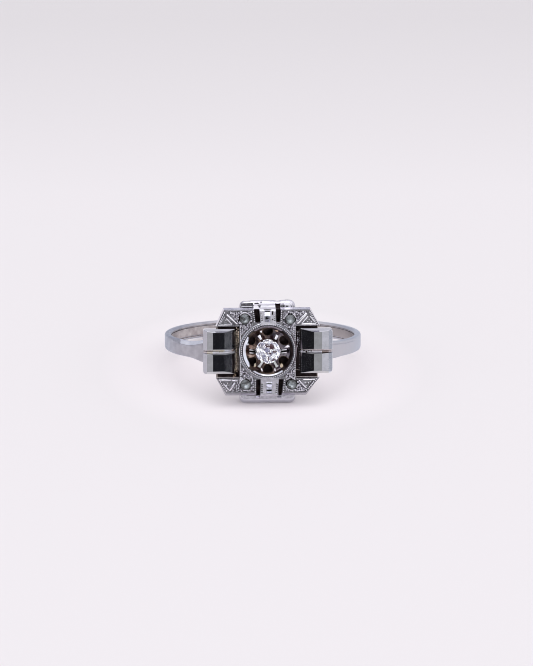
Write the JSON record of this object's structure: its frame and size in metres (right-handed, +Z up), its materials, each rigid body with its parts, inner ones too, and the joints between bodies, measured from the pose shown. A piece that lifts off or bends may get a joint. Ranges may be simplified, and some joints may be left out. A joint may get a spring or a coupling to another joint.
{
  "type": "art deco ring",
  "caption": "Art deco ring with an octagonal pierced head, round centre stone in a windowed cup, stepped side bars and a slim hoop, lying on its side.",
  "frame": {"origin": "centre of the ring's box on the surface it lies on", "axes": "+Z up from the surface, -Y out of the head's face, +X across the finger to the right seen from the face"},
  "size_m": [0.0184, 0.0178, 0.0092],
  "materials": {
    "white_gold": "worn polish, satin hoop",
    "centre_diamond": "brilliant cut, clear",
    "corner_diamonds": "single cut, dull grey",
    "square_diamonds": "square step cut"
  },
  "bodies": {
    "root": {"metal_mount": "white_gold", "centre_stone": "centre_diamond", "corner_stone_1": "corner_diamonds", "corner_stone_2": "corner_diamonds", "corner_stone_3": "corner_diamonds", "corner_stone_4": "corner_diamonds", "square_stone_1": "square_diamonds", "square_stone_2": "square_diamonds", "square_stone_3": "square_diamonds", "square_stone_4": "square_diamonds"}
  },
  "joints": []
}
